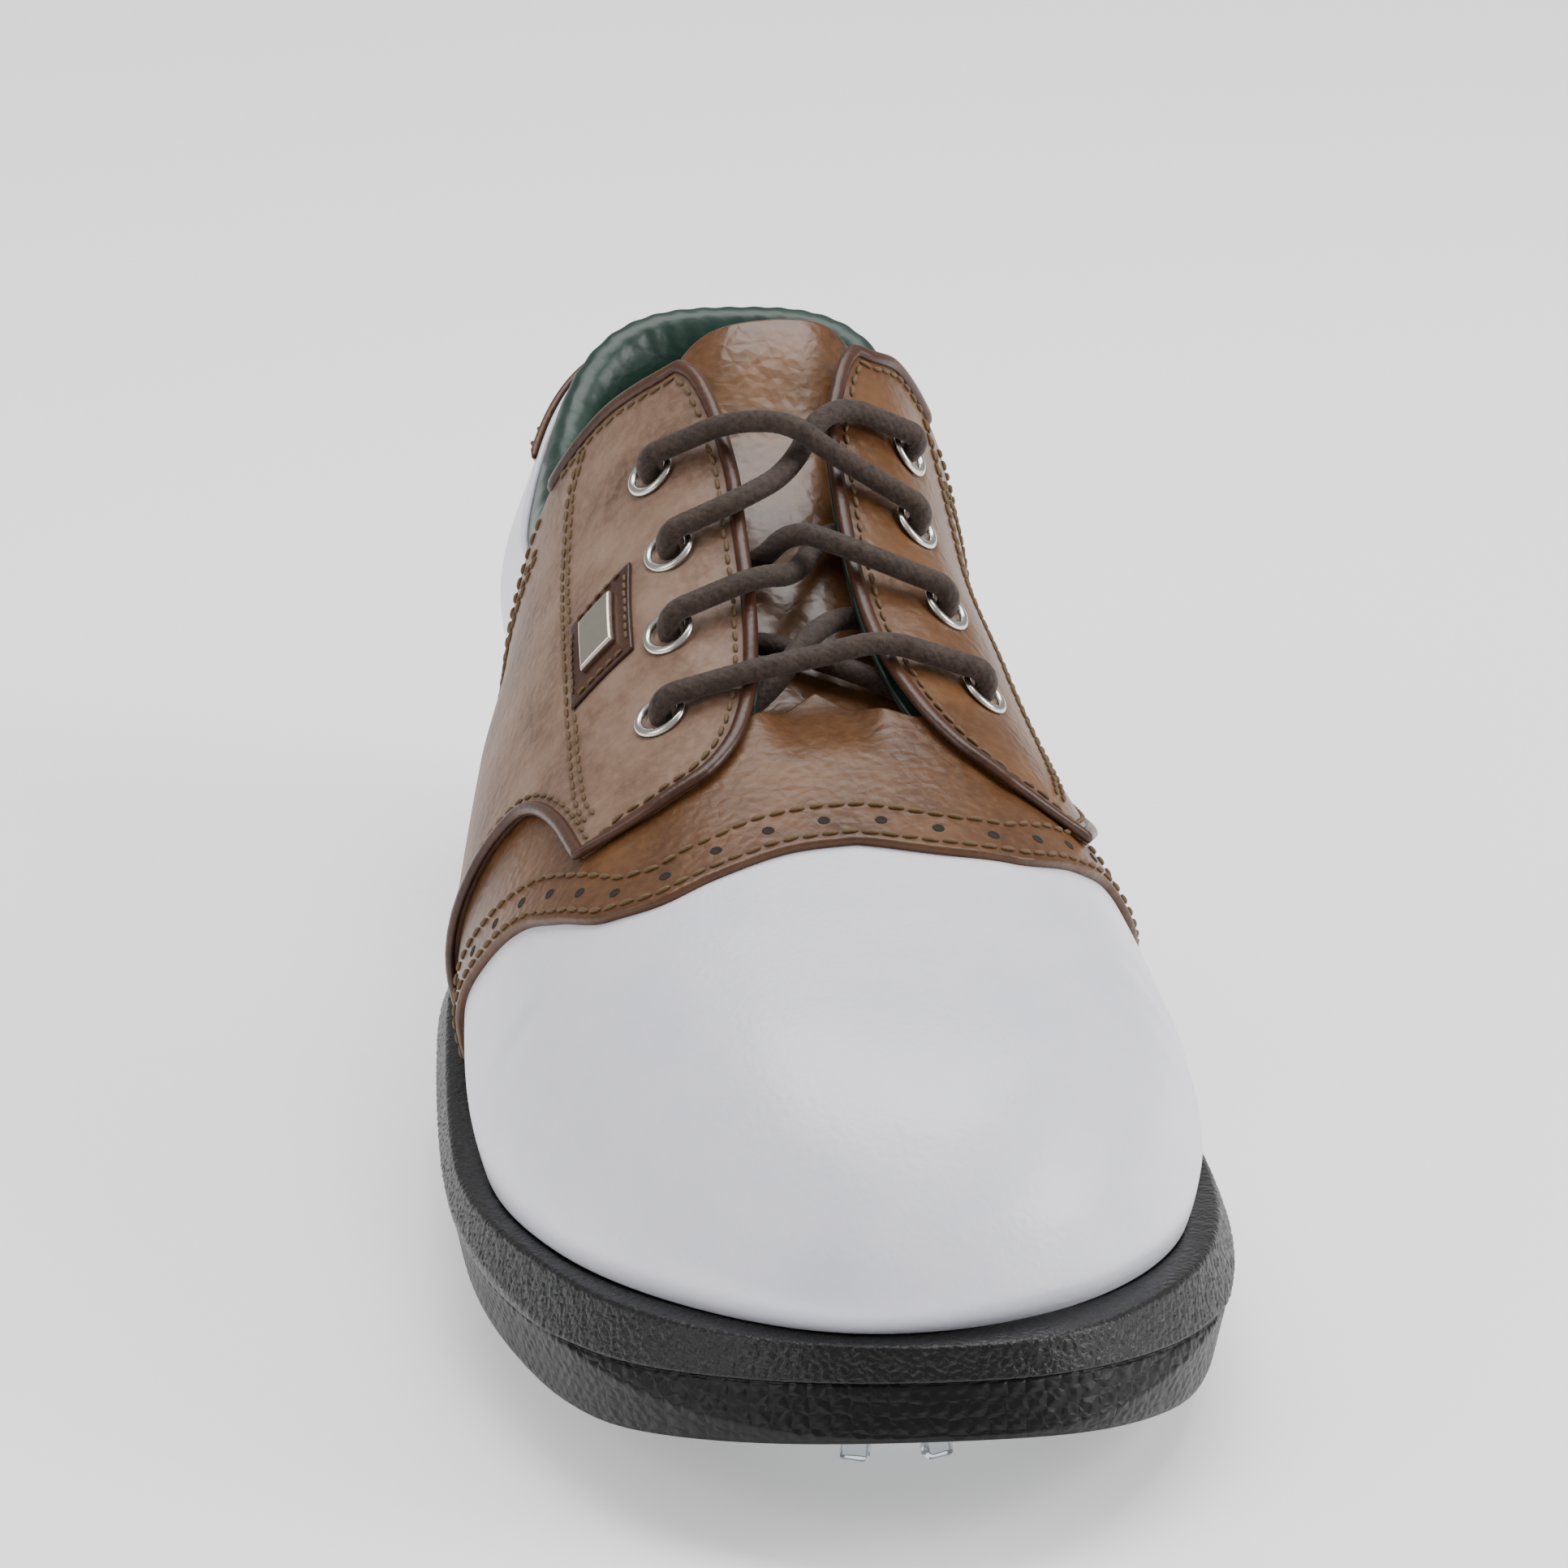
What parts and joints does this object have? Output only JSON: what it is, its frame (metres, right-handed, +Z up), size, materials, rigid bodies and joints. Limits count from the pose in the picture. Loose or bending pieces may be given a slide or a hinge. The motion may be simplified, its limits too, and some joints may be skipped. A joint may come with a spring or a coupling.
{
  "type": "golf shoe",
  "caption": "Lace-up leather golf shoe for the right foot, with a two-tone saddle upper, padded collar and turn-lock soft cleats under a moulded sole.",
  "frame": {"origin": "middle of the shoe's footprint, on the ground under the cleat tips", "axes": "toe towards -Y, heel towards +Y, +X to the inner (medial) side of a right foot, +Z up"},
  "size_m": [0.1115, 0.2979, 0.1186],
  "materials": {
    "white_leather": "smooth, semi-gloss",
    "tan_leather": "waxed, matt",
    "brown_leather": "waxed",
    "glossy_brown_leather": "polished",
    "green_leather": "soft, satin",
    "lining": "woven",
    "tongue_lining": "woven over foam",
    "stiffener": "matt",
    "black_rubber": "textured, satin",
    "black_foam": "grained, satin",
    "grey_plastic": "satin",
    "woven_plastic": "woven pattern",
    "grey_inlay": "gloss",
    "board": "matt",
    "footbed": "brushed fabric over foam",
    "nickel": "polished",
    "lace": "braided, waxed",
    "aglet": "gloss",
    "insert_plastic": "matt",
    "hub_plastic": "satin",
    "clear_plastic": "clear, gloss"
  },
  "bodies": {
    "shoe": {"outsole": "black_rubber", "midsole": "black_foam", "front_carrier": "grey_plastic", "mid_carrier": "grey_plastic", "heel_carrier": "grey_plastic", "flex_band": "grey_plastic", "shank_plate": "woven_plastic", "shank_inlay": "grey_inlay", "insole_board": "board", "footbed": "footbed", "vamp": "white_leather", "vamp_lining": "lining", "toe_puff": "stiffener", "saddle_band": "brown_leather", "quarter_lateral": "tan_leather", "quarter_medial": "brown_leather", "facing_lining_lateral": "green_leather", "facing_lining_medial": "green_leather", "eyelets_lateral": "nickel", "eyelets_medial": "nickel", "heel_quarter": "white_leather", "lining": "lining", "heel_stiffener": "stiffener", "backstay": "brown_leather", "collar": "green_leather", "badge_patch": "tan_leather", "badge": "nickel", "lace": "lace", "aglets": "aglet", "insert_toe": "insert_plastic", "insert_ball_medial": "insert_plastic", "insert_ball_lateral": "insert_plastic", "insert_mid_medial": "insert_plastic", "insert_mid_lateral": "insert_plastic", "insert_heel_medial": "insert_plastic", "insert_heel_lateral": "insert_plastic"},
    "tongue": {"tongue": "glossy_brown_leather", "tongue_pad": "tongue_lining"},
    "cleat_toe": {"cleat_core_toe": "hub_plastic", "cleat_toe": "clear_plastic"},
    "cleat_ball_medial": {"cleat_core_ball_medial": "hub_plastic", "cleat_ball_medial": "clear_plastic"},
    "cleat_ball_lateral": {"cleat_core_ball_lateral": "hub_plastic", "cleat_ball_lateral": "clear_plastic"},
    "cleat_mid_medial": {"cleat_core_mid_medial": "hub_plastic", "cleat_mid_medial": "clear_plastic"},
    "cleat_mid_lateral": {"cleat_core_mid_lateral": "hub_plastic", "cleat_mid_lateral": "clear_plastic"},
    "cleat_heel_medial": {"cleat_core_heel_medial": "hub_plastic", "cleat_heel_medial": "clear_plastic"},
    "cleat_heel_lateral": {"cleat_core_heel_lateral": "hub_plastic", "cleat_heel_lateral": "clear_plastic"}
  },
  "joints": [
    {"name": "tongue_tilt", "type": "hinge", "parent": "shoe", "child": "tongue", "pos_m": [0.003, -0.052, 0.067], "axis": [-1, 0, 0], "range_deg": [0, 6], "stiffness_Nm_per_rad": 0.6},
    {"name": "cleat_toe_turn", "type": "hinge", "parent": "shoe", "child": "cleat_toe", "pos_m": [0.006, -0.1, 0.008], "axis": [0, 0, 1], "range_deg": [0, 60]},
    {"name": "cleat_ball_medial_turn", "type": "hinge", "parent": "shoe", "child": "cleat_ball_medial", "pos_m": [0.022, -0.057, 0.008], "axis": [0, 0, 1], "range_deg": [0, 60]},
    {"name": "cleat_ball_lateral_turn", "type": "hinge", "parent": "shoe", "child": "cleat_ball_lateral", "pos_m": [-0.026, -0.052, 0.008], "axis": [0, 0, 1], "range_deg": [0, 60]},
    {"name": "cleat_mid_medial_turn", "type": "hinge", "parent": "shoe", "child": "cleat_mid_medial", "pos_m": [0.017, 0.002, 0.008], "axis": [0, 0, 1], "range_deg": [0, 60]},
    {"name": "cleat_mid_lateral_turn", "type": "hinge", "parent": "shoe", "child": "cleat_mid_lateral", "pos_m": [-0.031, 0.01, 0.008], "axis": [0, 0, 1], "range_deg": [0, 60]},
    {"name": "cleat_heel_medial_turn", "type": "hinge", "parent": "shoe", "child": "cleat_heel_medial", "pos_m": [0.0205, 0.115, 0.008], "axis": [0, 0, 1], "range_deg": [0, 60]},
    {"name": "cleat_heel_lateral_turn", "type": "hinge", "parent": "shoe", "child": "cleat_heel_lateral", "pos_m": [-0.018, 0.117, 0.008], "axis": [0, 0, 1], "range_deg": [0, 60]}
  ]
}
